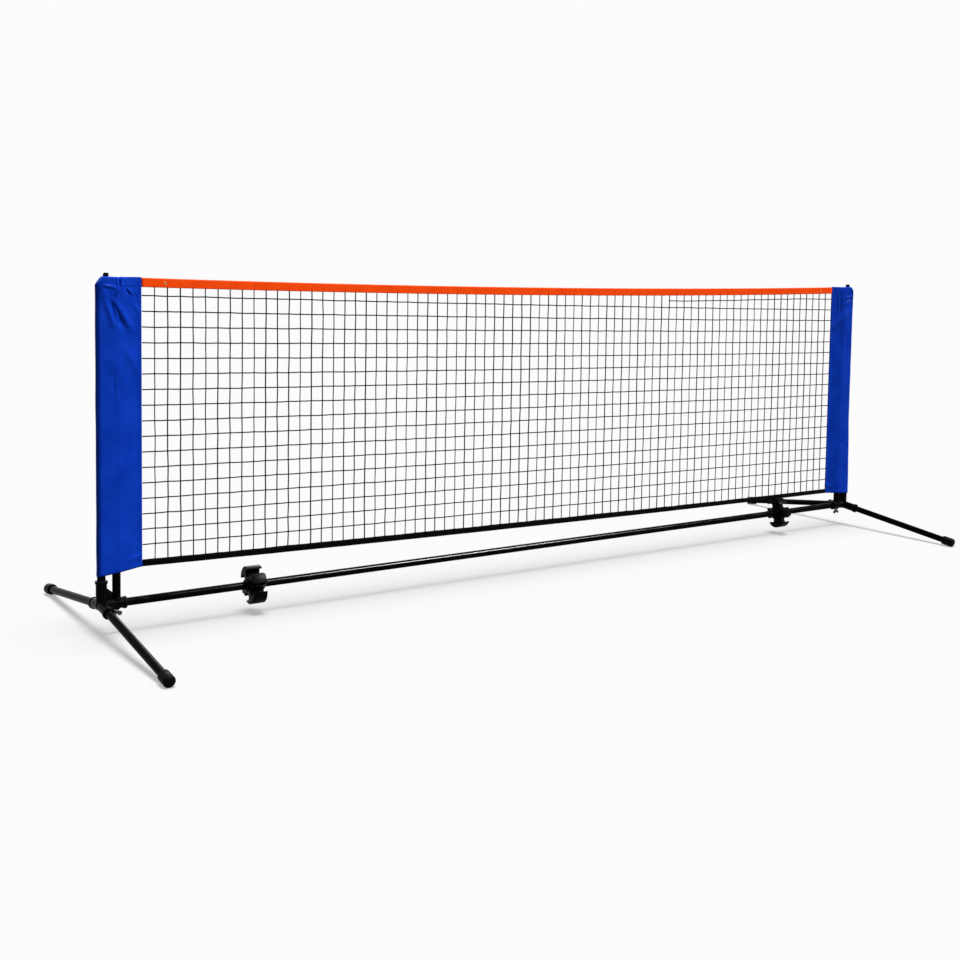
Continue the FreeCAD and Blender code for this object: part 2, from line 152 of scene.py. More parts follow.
# moulded polypropylene with glass fibre: black, duller than the tube, spark-eroded grain
moulded_black = mottled("moulded_polypropylene_fitting", "#020202", "#060607", 25, 0.9, 0.05, 0.32,
                        level=0.025)
# moulded rubber: dull and a little dusty
foot_rubber = mottled("moulded_rubber_foot", "#030303", "#090909", 12, 1.1, 0.09, 0.45, level=0.03)
# zinc-plated steel hardware: bright, slightly blue, uneven plating
zinc_steel = mottled("zinc_plated_steel_hardware", "#9a9ca0", "#d2d4d8", 5, 0.7, 0.02, 0.26, 1.0)
# the same zinc plating on the wing nuts, with its colour darkened as a painted dark reflection
darkened_zinc_steel = mottled("zinc_plated_wing_nut_painted_dark", "#2a2b2e", "#55585c", 5, 0.7, 0.02, 0.3, 1.0)
# pressed brass eyelets: dull warm metal, worn bright in places
eyelet_metal = mottled("pressed_brass_eyelet", "#a05a28", "#cf8544", 4, 0.5, 0.01, 0.42, 1.0)
# twisted polyethylene twine: black with a slight shine on each strand
net_string = mottled("twisted_polyethylene_twine", "#030304", "#080809", 20, 0.7, 0.15, 0.5,
                     level=0.03)
# polyester taffeta, coated inside: royal blue with a soft, even gloss; the threads are drawn at
# 1.0 mm, coarser than the real 0.3 mm, so that they show
blue_cloth = woven("woven_polyester_sleeve_cloth", "#0530a0", "#0c3cb8", 1.0, 0.05, 0.42, level=0.03)
# woven polyethylene binding tape: bright orange with cross ribs, threads drawn at 0.9 mm
orange_tape = woven("woven_orange_binding_tape", "#f24404", "#fe5006", 0.9, 0.06, 0.5, level=0.06,
                    ribs=1.8)
# the same tape in black
black_tape = woven("woven_black_binding_tape", "#020202", "#050506", 0.9, 0.06, 0.5, level=0.02,
                   ribs=1.8)
# spun polyester sewing thread: dull and fuzzy, a shade lighter than the cloth that it holds
blue_thread = mottled("spun_polyester_thread_blue", "#0a34ac", "#1c52d8", 3, 0.5, 0.05, 0.6,
                      level=0.15)
orange_thread = mottled("spun_polyester_thread_orange", "#ec4006", "#ff5c1c", 3, 0.5, 0.05, 0.6,
                        level=0.12)
black_thread = mottled("spun_polyester_thread_black", "#080808", "#141414", 3, 0.5, 0.05, 0.6,
                       level=0.1)


# Making pieces

WELD = 0.004


def finished(name, bm, material, body, stands_for, sharp=38, closed=True):
    # a piece goes from millimetres to metres and gets its finish and its body
    bmesh.ops.remove_doubles(bm, verts=bm.verts, dist=WELD)
    if closed:
        bmesh.ops.recalc_face_normals(bm, faces=bm.faces)
    bmesh.ops.scale(bm, vec=(0.001, 0.001, 0.001), verts=bm.verts)
    mesh = bpy.data.meshes.new(name)
    bm.to_mesh(mesh)
    bm.free()
    return placed(name, mesh, material, body, stands_for, sharp)


def placed(name, mesh, material, body, stands_for, sharp):
    mesh.polygons.foreach_set("use_smooth", [True] * len(mesh.polygons))
    mesh.set_sharp_from_angle(angle=math.radians(sharp))
    mesh.materials.clear()
    mesh.materials.append(material)
    piece = bpy.data.objects.new(name, mesh)
    bpy.context.scene.collection.objects.link(piece)
    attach(piece, body)
    if stands_for:
        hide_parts(*stands_for)
    return piece


def turned(bm, outline, at, along, steps=40, ring=False):
    # an outline of (radius, height) pairs spun round its own axis, which starts at `at`
    before = set(bm.verts)
    line = [bm.verts.new((r, 0, h)) for r, h in outline]
    edges = [bm.edges.new(pair) for pair in zip(line, line[1:])]
    if ring:
        edges.append(bm.edges.new((line[-1], line[0])))
    bmesh.ops.spin(bm, geom=line + edges, cent=(0, 0, 0), axis=(0, 0, 1), angle=2 * math.pi,
                   steps=steps, use_merge=True)
    made = [v for v in bm.verts if v not in before]
    turn = Vector(along).to_track_quat("Z", "Y").to_matrix().to_4x4()
    bmesh.ops.transform(bm, matrix=Matrix.Translation(at) @ turn, verts=made)
    bmesh.ops.remove_doubles(bm, verts=made, dist=0.001)
    return [v for v in bm.verts if v not in before]


def pushed_out(bm, face, by):
    grown = bmesh.ops.extrude_face_region(bm, geom=[face])["geom"]
    bmesh.ops.translate(bm, vec=by, verts=[g for g in grown if isinstance(g, bmesh.types.BMVert)])


def plate(bm, outline, thickness, edge):
    # a flat outline of (x, z) pairs, given its thickness along Y and soft edges
    before = set(bm.verts)
    face = bm.faces.new([bm.verts.new((x, -thickness / 2, z)) for x, z in outline])
    pushed_out(bm, face, (0, thickness, 0))
    made = [v for v in bm.verts if v not in before]
    lines = list({e for v in made for e in v.link_edges})
    bmesh.ops.bevel(bm, geom=lines, offset=edge, segments=2, profile=0.5, affect="EDGES",
                    material=-1)


def arc(x, z, r, start, end, steps):
    turn = [math.radians(start + (end - start) * i / steps) for i in range(steps + 1)]
    return [(x + r * math.cos(t), z + r * math.sin(t)) for t in turn]


STITCH_PITCH = 4.0
STITCH_LENGTH = 3.0
STITCH_BOW = 0.16


def stitches(path, out):
    # a sewn line: short threads along a path of points, each bowed a little towards `out`
    threads, left = [], STITCH_PITCH / 2
    for a, b in zip(path, path[1:]):
        run = b - a
        while left < run.length:
            way = run.normalized()
            middle = a + way * left
            reach = way * STITCH_LENGTH / 2
            threads.append([middle - reach, middle + Vector(out) * STITCH_BOW, middle + reach])
            left += STITCH_PITCH
        left -= run.length
    return threads


def twine(name, runs, radius, material, stands_for=(), pinch=1.0):
    # every run of points becomes one string; pinch is the share of its radius that its ends keep
    line = bpy.data.curves.new(name, "CURVE")
    line.dimensions = "3D"
    line.bevel_depth = radius / 1000
    line.bevel_resolution = 0
    line.use_fill_caps = True
    for run in runs:
        string = line.splines.new("POLY")
        string.points.add(len(run) - 1)
        for point, place in zip(string.points, run):
            point.co = (place[0] / 1000, place[1] / 1000, place[2] / 1000, 1)
        string.points[0].radius = string.points[-1].radius = pinch
    draft = bpy.data.objects.new(name + "_line", line)
    bpy.context.scene.collection.objects.link(draft)
    bpy.context.view_layer.update()
    mesh = bpy.data.meshes.new_from_object(draft.evaluated_get(bpy.context.evaluated_depsgraph_get()))
    bpy.data.objects.remove(draft)
    return placed(name, mesh, material, "net_set", stands_for, sharp=180)


def smooth_step(low, high, value):
    t = min(1.0, max(0.0, (value - low) / (high - low)))
    return t * t * (3 - 2 * t)


def bell(value, middle, width):
    return math.exp(-((value - middle) / width) ** 2)


# Corner fittings

BORE_R = TUBE_R + 0.05
SOCKET_R = 14.5
RIM_R = 16.5
SOCKET_END = 66.0        # from the hub's centre
RIM_START = SOCKET_END - 9
SOCKET_FLOOR = 16.2
HUB_R = 16.3
SADDLE_R = 13.0
SADDLE_LOW = 88.0
SADDLE_TOP = 96.55
SPIGOT_R = 9.75
SPIGOT_TOP = 124.55
POCKET_R = 6.5
HOLE_R = 3.25            # for the clamp bolt
BOLT_SEAT = 98.55        # under the bolt's head, on the pocket's floor
BOSS_R = 9.0
BOSS_LOW = 63.55
WEB_END = 1455.0
WEB_TALL = 44.0          # over the hub, at the socket
WEB_SHORT = 32.0         # over the hub, at the inner upright
WEB_THICK = 9.0
UP = (0, 0, 1)

# outer wall, chamfered rim, mouth and bore of one socket, measured from the hub's centre
SOCKET = [(0, 1), (SOCKET_R, 1), (SOCKET_R, RIM_START - 0.4), (SOCKET_R + 0.4, RIM_START),
          (SOCKET_R + 0.6, RIM_START), (RIM_R, RIM_START + 1.5), (RIM_R, SOCKET_END - 1.5),
          (RIM_R - 1.5, SOCKET_END), (BORE_R + 0.85, SOCKET_END), (BORE_R, SOCKET_END - 0.8),
          (BORE_R, SOCKET_FLOOR), (0, SOCKET_FLOOR)]


def leg_line(side_y):
    return Vector((0, side_y * math.cos(SLOPE), -math.sin(SLOPE)))


def corner(name, sign):
    bm = bmesh.new()
    hub = Vector((sign * POST, 0, HUB_Z))
    for way in (UP, (-sign, 0, 0), leg_line(-1), leg_line(1)):
        turned(bm, SOCKET, hub, way)
    bmesh.ops.create_uvsphere(bm, u_segments=40, v_segments=24, radius=HUB_R,
                              matrix=Matrix.Translation(hub))
    # saddle and spigot that carry the inner upright, with the bolt's pocket
    spot = Vector((sign * UPRIGHT, 0, 0))
    turned(bm, [(SADDLE_R, SADDLE_LOW), (SADDLE_R, SADDLE_TOP - 0.75), (SADDLE_R - 0.7, SADDLE_TOP),
                (SPIGOT_R, SADDLE_TOP), (SPIGOT_R, SPIGOT_TOP - 0.95), (SPIGOT_R - 0.85, SPIGOT_TOP),
                (POCKET_R, SPIGOT_TOP), (POCKET_R, BOLT_SEAT), (HOLE_R, BOLT_SEAT),
                (HOLE_R, SADDLE_LOW + 4), (HOLE_R + 0.75, SADDLE_LOW)], spot, UP, 36, True)
    # boss under the rail socket, on which the wing nut bears
    turned(bm, [(HOLE_R, BOSS_LOW + 4.45), (HOLE_R, BOSS_LOW), (BOSS_R - 0.7, BOSS_LOW),
                (BOSS_R, BOSS_LOW + 0.7), (BOSS_R, BOSS_LOW + 6.45)], spot, UP, 36)
    # web between the post's socket and the inner upright
    web = [(POST, HUB_Z), (POST, HUB_Z + WEB_TALL), (POST - SOCKET_R, HUB_Z + WEB_TALL),
           (WEB_END, HUB_Z + WEB_SHORT), (WEB_END, HUB_Z)]
    plate(bm, [(sign * x, z) for x, z in web], WEB_THICK, 0.9)
    finished(name, bm, moulded_black, "frame", [name])


for side, sign in SIDES:
    corner("corner_" + side, sign)

# Rubber feet

FOOT_R = 15.5
FOOT_START = 471.0       # along the leg, from the hub's centre
FOOT_END = 513.0
LEG_END = 505.0
GROOVES = (478.0, 482.5, 487.0)

# bore for the leg, mouth lip, three grip grooves and chamfered end
FOOT = [(0, LEG_END), (BORE_R, LEG_END), (BORE_R, FOOT_START + 0.4), (BORE_R + 0.55, FOOT_START),
        (FOOT_R - 0.9, FOOT_START), (FOOT_R, FOOT_START + 0.9)]
for groove in GROOVES:
    FOOT += [(FOOT_R, groove), (FOOT_R - 0.7, groove + 0.6), (FOOT_R - 0.7, groove + 1.4),
             (FOOT_R, groove + 2)]
FOOT += [(FOOT_R, FOOT_END - 4.4), (FOOT_R - 0.2, FOOT_END - 3.8), (11.9, FOOT_END - 0.3),
         (11.3, FOOT_END), (0, FOOT_END)]

for place, side_y in (("front", -1), ("back", 1)):
    for side, sign in SIDES:
        bm = bmesh.new()
        turned(bm, FOOT, Vector((sign * POST, 0, HUB_Z)), leg_line(side_y), 48)
        bmesh.ops.remove_doubles(bm, verts=bm.verts, dist=0.001)
        # the tilted end is cut flat where it stands on the floor
        cut = bmesh.ops.bisect_plane(bm, geom=bm.verts[:] + bm.edges[:] + bm.faces[:], dist=0.0001,
                                     plane_co=(0, 0, 0), plane_no=(0, 0, -1), clear_outer=True)
        rim = [g for g in cut["geom_cut"] if isinstance(g, bmesh.types.BMEdge)]
        bmesh.ops.edgenet_fill(bm, edges=rim)
        name = "foot_%s_%s" % (place, side)
        finished(name + "_rubber", bm, foot_rubber, "%s_%s_leg" % (place, side),
                 [name])

# Clamp bolts and wing nuts

BOLT_R = 3.0
THREAD_R = 2.55          # at the thread's root
BOLT_TIP = 41.1
THREAD_TURNS = 20
HEAD_R = 5.5             # over the corners of the hexagon
HEAD_TALL = 4.0
NUT_TOP = 61.85
NUT_R = 6.0
NUT_TALL = 9.0
WING_R = 6.5
WING_OUT = 8.5           # middle of a wing's lobe, from the bolt's axis
WING_Z = NUT_TOP - 10.25
WING_THICK = 2.4

bm = bmesh.new()
for side, sign in SIDES:
    spot = Vector((sign * UPRIGHT, 0, 0))
    thread = [(0, BOLT_TIP), (2.3, BOLT_TIP), (2.6, BOLT_TIP + 0.4)]
    for i in range(THREAD_TURNS):
        thread += [(BOLT_R, BOLT_TIP + 0.8 + i), (THREAD_R, BOLT_TIP + 1.3 + i)]
    thread += [(BOLT_R, BOLT_TIP + 1.4 + THREAD_TURNS), (BOLT_R, BOLT_SEAT), (0, BOLT_SEAT)]
    turned(bm, thread, spot, UP, 24)
    seat = Matrix.Translation(spot + Vector((0, 0, BOLT_SEAT + 0.01)))
    head = bmesh.ops.create_circle(bm, cap_ends=True, segments=6, radius=HEAD_R, matrix=seat)["verts"]
    face = next(f for f in head[0].link_faces if len(f.verts) == 6)
    pushed_out(bm, face, (0, 0, HEAD_TALL))
finished("clamp_bolts", bm, zinc_steel, "frame", ["arm_bolts"], sharp=30)

for side, sign in SIDES:
    bm = bmesh.new()
    spot = Vector((sign * UPRIGHT, 0, 0))
    # barrel with a turned waist, and two rounded wings with a pressed dimple
    turned(bm, [(BOLT_R + 0.05, NUT_TOP), (NUT_R - 0.4, NUT_TOP), (NUT_R, NUT_TOP - 0.4),
                (NUT_R, NUT_TOP - 3.2), (NUT_R - 0.5, NUT_TOP - 4.2), (NUT_R - 0.7, NUT_TOP - 8),
                (NUT_R - 1.3, NUT_TOP - NUT_TALL), (BOLT_R + 0.05, NUT_TOP - NUT_TALL)],
           spot, UP, 32, True)
    for wing, start, end in ((-1, 330, 80), (1, -150, 100)):
        x = sign * UPRIGHT + wing * WING_OUT
        root_x = sign * UPRIGHT + wing * 3.6
        lobe = arc(x, WING_Z, WING_R, start, end, 18)
        plate(bm, lobe + [(root_x, NUT_TOP - 1.2), (root_x, NUT_TOP - 8.4)], WING_THICK, 0.5)
        for face_y in (-1, 1):
            turned(bm, [(0, -0.1), (3.0, -0.1), (3.9, 0.45), (4.6, -0.1)],
                   Vector((x, face_y * WING_THICK / 2, WING_Z)), (0, face_y, 0), 24)
    # the nuts' plating is darkened in colour: painted dark reflection
    finished("wing_nut_%s_plated" % side, bm, darkened_zinc_steel, "nut_" + side,
             ["wing_nut_" + side], sharp=30)

# Post caps: flange on the tube, and the knob that comes through the sleeve

POST_TOP = 920.0
PLUG_R = 9.75            # inside the post
PLUG_LOW = POST_TOP - 18
FLANGE_TOP = POST_TOP + 4
SHOULDER_R = 9.25
SHOULDER_TOP = 945.4
KNOB_R = 8.0
KNOB_TOP = 957.0
LEAN_LOW = SHOULDER_TOP + 0.1
LEAN = 0.4               # share of the knob's radius that its outer side loses at the top

for side, sign in SIDES:
    bm = bmesh.new()
    turned(bm, [(0, PLUG_LOW), (PLUG_R - 0.25, PLUG_LOW), (PLUG_R, PLUG_LOW + 0.5), (PLUG_R, POST_TOP),
                (TUBE_R - 0.5, POST_TOP), (TUBE_R, POST_TOP + 0.5), (TUBE_R, FLANGE_TOP - 0.8),
                (TUBE_R - 0.8, FLANGE_TOP), (0, FLANGE_TOP)], Vector((sign * POST, 0, 0)), UP, 36)
    middle = Vector((sign * (POST - CAP_IN), 0, 0))
    knob = turned(bm, [(0, POST_TOP + 0.5), (SHOULDER_R, POST_TOP + 0.5),
                       (SHOULDER_R, SHOULDER_TOP - 2.2), (SHOULDER_R - 0.45, SHOULDER_TOP - 0.8),
                       (KNOB_R, SHOULDER_TOP), (KNOB_R, KNOB_TOP - 2.4), (KNOB_R - 0.5, KNOB_TOP - 1),
                       (6.4, KNOB_TOP - 0.2), (5.6, KNOB_TOP), (0, KNOB_TOP)], middle, UP, 36)
    for v in knob:
        # the knob's outer side leans in, in line with the cut corner of the sleeve
        if v.co.z > LEAN_LOW and (v.co.x - middle.x) * sign > 0:
            v.co.x -= (v.co.x - middle.x) * LEAN * (v.co.z - LEAN_LOW) / (KNOB_TOP - LEAN_LOW)
    finished("post_cap_%s_moulded" % side, bm, moulded_black, "posts",
             ["post_cap_" + side])

# Storage clips: the solid's own shape with its long edges rounded

CLIP_EDGE_R = 1.1
FLAT = math.radians(1.5)     # faces that meet at less than this become one
CREASE = math.radians(35)    # edges that turn by more than this are rounded

for side, sign in SIDES:
    bm = bmesh.new()
    bm.from_mesh(nodes["clip_" + side].data)
    bmesh.ops.scale(bm, vec=(1000, 1000, 1000), verts=bm.verts)
    bmesh.ops.remove_doubles(bm, verts=bm.verts, dist=0.02)
    bmesh.ops.dissolve_limit(bm, angle_limit=FLAT, verts=bm.verts, edges=bm.edges)
    lines = [e for e in bm.edges
             if len(e.link_faces) == 2 and e.calc_face_angle(0) > CREASE and e.is_convex]
    bmesh.ops.bevel(bm, geom=lines, offset=CLIP_EDGE_R, offset_type="OFFSET", segments=3, profile=0.5,
                    affect="EDGES", material=-1, clamp_overlap=True)
    finished("clip_%s_moulded" % side, bm, moulded_black, "storage_clip_" + side,
             ["clip_" + side], sharp=32)

# Net: tapes, strings, knots and eyelets

TAPE_Z = 920.0           # lower edge of the top tape, at its ends
TAPE_SAG = 14.0
TAPE_TALL = 25.0
LOW_TAPE_Z = 170.55      # lower edge of the bottom tape, at its left end
LOW_TAPE_DROP = 37.0     # how much lower its right end is
LOW_TAPE_SAG = 6.0
LOW_TAPE_TALL = 15.5
TAPE_THICK = 0.6
STRING_Z = 898.0         # first whole level string, at its left end
STRING_DROP = 41.0
STRING_DIP = 4.0
CELL_TALL = 41.8
CELLS = 77               # along the net
CELL = 2 * NET_HALF / CELLS
LEVELS = 19              # level strings, the short one at the top right among them
FOLD_R = 1.4             # of a tape's fold
FOLD_IN = 0.3            # middle of the fold's curve, from the net
STITCHED = 3.2           # sewn line, from a tape's open edge
PUCKER_PITCH = 9.5
SEAM_THREAD_R = 0.3


def hung(x, height, drop, sag):
    # a line across the net: its height at the left end, its fall to the right and its sag
    t = (x + NET_HALF) / (2 * NET_HALF)
    return height - drop * t - sag * 4 * t * (1 - t)


def tape_edge(x):
    return hung(x, TAPE_Z, 0, TAPE_SAG)


def low_tape_edge(x):
    return hung(x, LOW_TAPE_Z, LOW_TAPE_DROP, LOW_TAPE_SAG)


def string_height(k, x):
    return hung(x, STRING_Z - CELL_TALL * (k - 1), STRING_DROP, STRING_DIP)


def cloth_wall(piece, thickness):
    wall = piece.modifiers.new("cloth_wall", "SOLIDIFY")
    wall.thickness = thickness / 1000
    wall.offset = -1


def folded_tape(name, material, stands_for, height, edge, fold_up):
    # a tape folded in two over the net, following its sagging edge; its flat width is both legs
    # and the fold
    bm = bmesh.new()
    cloth_map = bm.loops.layers.uv.new("cloth")
    bmesh.ops.create_grid(bm, x_segments=420, y_segments=26, size=0.5)
    legs = height - FOLD_R
    total = 2 * legs + math.pi * FOLD_R
    spot = {}
    for v in bm.verts:
        x = -NET_HALF + (v.co.x + 0.5) * 2 * NET_HALF
        d = (v.co.y + 0.5) * total
        side_y = -1 if d < total / 2 else 1
        near = min(d, total - d)
        if near < legs:
            y, rise = side_y * (FOLD_IN + FOLD_R), near
        else:
            a = (near - legs) / FOLD_R
            y, rise = side_y * (FOLD_IN + FOLD_R * math.cos(a)), legs + FOLD_R * math.sin(a)
        # slack between the strings, and small puckers beside the sewn line
        wave = 0.35 * noise.noise(Vector((x / 60, side_y * 3.0, height)))
        phase = 2 * noise.noise(Vector((x / 25, 0, 4)))
        pucker = 0.22 * math.sin(x * 2 * math.pi / PUCKER_PITCH + phase)
        y += side_y * (wave * smooth_step(0, 8, near) + pucker * bell(near, 3, 3.5))
        y -= side_y * 0.25 * bell(near, STITCHED, 0.9)
        z = edge(x) + (rise if fold_up else height - rise)
        z += 0.25 * noise.noise(Vector((x / 45, 7.0, height)))
        spot[v] = (x / 1000, d / 1000)
        v.co = (x, y, z)
    for face in bm.faces:
        for loop in face.loops:
            loop[cloth_map].uv = spot[loop.vert]
    piece = finished(name, bm, material, "net_set", stands_for, sharp=180, closed=False)
    cloth_wall(piece, TAPE_THICK)
    return piece, total / 1000


def tape_stitches(name, material, edge, offset):
    threads = []
    steps, margin = 300, 4
    for side_y in (-1, 1):
        path = []
        for i in range(steps + 1):
            x = -NET_HALF + margin + i * (2 * NET_HALF - 2 * margin) / steps
            path.append(Vector((x, side_y * (FOLD_IN + FOLD_R + 0.05), edge(x) + offset)))
        threads += stitches(path, (0, side_y, 0))
    return twine(name, threads, SEAM_THREAD_R, material, pinch=0.6)


tape_top, tape_cut = folded_tape("tape_top_orange", orange_tape, ["tape_top"],
                                 TAPE_TALL, tape_edge, True)
tape_low, low_cut = folded_tape("tape_bottom_black", black_tape, ["tape_bottom"],
                                LOW_TAPE_TALL, low_tape_edge, False)
top_seam = tape_stitches("tape_top_seam", orange_thread, tape_edge, STITCHED)
low_seam = tape_stitches("tape_bottom_seam", black_thread, low_tape_edge, LOW_TAPE_TALL - STITCHED)

FREE_START = 53          # the top string is knotted off here, a little below the tape
FREE_RISE = 23.7         # of the top string over the one below it, at its left end
FREE_CLIMB = 18.1        # and how much more at its right end
UPRIGHT_STRING_R = 1.85
LEVEL_STRING_R = 1.7
KNOT_R = 2.7
STRING_SAG = 0.35        # of a level string within one cell
TOP_TUCK = 18.0          # an upright string's end, in the top tape
LOW_TUCK = 6.0           # and in the bottom tape


def level_height(k, x):
    # the top string shows only on the right, and runs beside the tape there
    if k:
        return string_height(k, x)
    share = smooth_step(-NET_HALF + FREE_START * CELL, NET_HALF - CELL, x)
    return string_height(1, x) + FREE_RISE + FREE_CLIMB * share


knots = {}
for i in range(1, CELLS):
    for k in range(LEVELS):
        if k or i >= FREE_START:
            x = -NET_HALF + i * CELL
            knots[i, k] = (x + rng.uniform(-0.9, 0.9), rng.uniform(-0.25, 0.25),
                           level_height(k, x) + rng.uniform(-0.7, 0.7))

# the strings are drawn thicker than the real 1.8 mm, so that they read as dark as in the photograph
upright_runs = []
for i in range(1, CELLS):
    x = -NET_HALF + i * CELL
    low = low_tape_edge(x) + LOW_TUCK
    run = [(x, 0, tape_edge(x) + TOP_TUCK)]
    run += [knots[i, k] for k in range(LEVELS) if (i, k) in knots and knots[i, k][2] > low]
    upright_runs.append(run + [(x, 0, low)])
level_runs = []
for k in range(LEVELS):
    last = (NET_HALF - 1, 0, level_height(k, NET_HALF))
    if k:
        first, run = 1, [(-NET_HALF + 1, 0, level_height(k, -NET_HALF))]
    else:
        x, y, z = knots[FREE_START, 0]
        first, run = FREE_START, [(x - 4, -0.8, z - 3)]
    for i in range(first, CELLS):
        a = knots[i, k]
        b = knots.get((i + 1, k), last)
        run.append(a)
        run.append(((a[0] + b[0]) / 2, (a[1] + b[1]) / 2, (a[2] + b[2]) / 2 - STRING_SAG))
    level_runs.append(run + [last])
twine("net_strings_upright", upright_runs, UPRIGHT_STRING_R, net_string, ["net_mesh"])
twine("net_strings_level", level_runs, LEVEL_STRING_R, net_string, ["net_mesh"])
# knots, each a short lump across its crossing; those inside the tapes are left out
lumps = []
for x, y, z in knots.values():
    if low_tape_edge(x) + 17 < z < tape_edge(x) - 1:
        lean = rng.uniform(-0.8, 0.8)
        lumps.append([(x - 2.2, y, z - lean), (x - 0.9, y, z - 0.4 * lean),
                      (x + 0.9, y, z + 0.4 * lean), (x + 2.2, y, z + lean)])
twine("net_knots", lumps, KNOT_R, net_string, ["net_mesh"], pinch=0.5)

EYELET_IN = 65.0         # from the sleeve's seam
# two pressed flanges, joined by a barrel through the tape
EYELET = [(2.0, -2.2), (2.3, -2.45), (3.6, -2.5), (4.6, -2.3), (5, -1.8), (3.0, -1.7)]
EYELET += [(radius, -depth) for radius, depth in reversed(EYELET)]

bm = bmesh.new()
for sign in (-1, 1):
    x = sign * (NET_HALF - EYELET_IN)
    turned(bm, EYELET, Vector((x, 0, tape_edge(x) + TAPE_TALL / 2)), (0, 1, 0), 32, True)
finished("eyelets_pressed", bm, eyelet_metal, "net_set", ["eyelets"])

# Cloth sleeves

SLEEVE_R = 12.3          # cloth round the post
SHOULDER_X = 46.0        # where the sleeve starts to taper, from the post's axis
SEAM_X = 98.0            # where the flat seam beside the net starts
REACH = 110.0            # where it ends
SEAM_HALF = 1.7
SEAM_LINES = (101.5, 107.0)      # its two sewn lines
BAND = 26.5              # sewn line under the top edge
HEM_BAND = 12.0          # sewn line over the hem
TOP_TURN = 4.0           # radius of the top edge, where the cloth turns in
CUT_START = 5.0          # the top edge is cut down outside of this
CUT_SLOPE = 1.236
CLOTH_THICK = 0.8
SLEEVE_THREAD_R = 0.32
KNOB_HOLE_R = 8.5
LID_LOW = SLEEVE_TOP - 3.5
HEMS = {"left": (157.55, 170.55), "right": (125.55, 133.55)}     # outer and inner height
RIM_TOP = HUB_Z + SOCKET_END
FLARE_TALL = 320.0       # the right sleeve opens over this much of its height, down to the rim
FLARE = 5.4
FLARE_SHOULDER = 1.5
FOLD_GAIN = 2.1          # on the heights below, so that the folds show as in the photograph

# folds: from (across, down) to (across, down), half width and height, all in millimetres,
# across from the outer edge and down from the top edge
FRONT_FOLDS = {
    "left": [(28, 2, 15, 20, 3.2, 1.3), (11, 22, 54, 29, 3.4, 1.5), (60, 2, 61, 22, 2.6, -1.8),
             (54, 3, 55, 20, 2.4, 0.9), (67, 3, 66, 21, 2.6, 1.0), (67, 21, 48, 48, 3.4, 2.2),
             (61, 23, 43, 52, 3.2, -1.8), (75, 29, 66, 58, 3.4, 0.9), (83, 30, 98, 47, 3.2, 1.1),
             (78, 31, 92, 50, 2.8, -0.9), (30, 60, 74, 134, 9, -2.4), (48, 66, 94, 140, 9, 1.7),
             (17, 34, 44, 126, 8, 1.9), (100, 47, 122, 54, 4, -0.9), (98, 70, 118, 96, 6, 0.8),
             (72, 180, 112, 250, 13, 1.1), (30, 240, 70, 330, 15, -1.0)],
    "right": [(9, 40, 60, 60, 3.4, -1.9), (14, 34, 50, 47, 3.8, 1.5), (24, 3, 12, 20, 3.0, 1.1),
              (36, 94, 100, 158, 10, 2.2), (56, 76, 104, 130, 7, -1.8), (66, 29, 68, 84, 2.6, 0.9),
              (76, 29, 80, 92, 2.6, -0.8), (87, 30, 86, 100, 2.6, 0.9), (98, 31, 96, 88, 2.6, -0.7),
              (20, 180, 80, 260, 14, -1.1), (40, 300, 100, 380, 16, 1.0)],
}
BACK_FOLDS = {
    "left": [(12, 24, 50, 33, 3.4, 1.3), (60, 2, 60, 24, 2.6, -1.5), (70, 26, 44, 60, 3.6, 1.7),
             (86, 30, 96, 60, 3.2, 1.0), (40, 70, 90, 150, 10, -1.8), (20, 90, 60, 180, 10, 1.5)],
    "right": [(12, 36, 56, 52, 3.4, 1.4), (62, 2, 61, 24, 2.6, -1.5), (80, 28, 60, 70, 3.4, 1.3),
              (44, 100, 96, 170, 10, -1.9), (26, 80, 70, 160, 10, 1.4)],
}


def fold_height(folds, across, down):
    total = 0.0
    for a0, d0, a1, d1, width, height in folds:
        run_a, run_d = a1 - a0, d1 - d0
        length = run_a * run_a + run_d * run_d
        t = ((across - a0) * run_a + (down - d0) * run_d) / length
        t = min(1.0, max(0.0, t))
        gap = math.hypot(across - a0 - t * run_a, down - d0 - t * run_d)
        ends = 0.25 + 0.75 * math.sin(math.pi * min(1.0, max(0.0, 0.1 + 0.8 * t)))
        total += height * ends * bell(gap, 0, width)
    return FOLD_GAIN * total


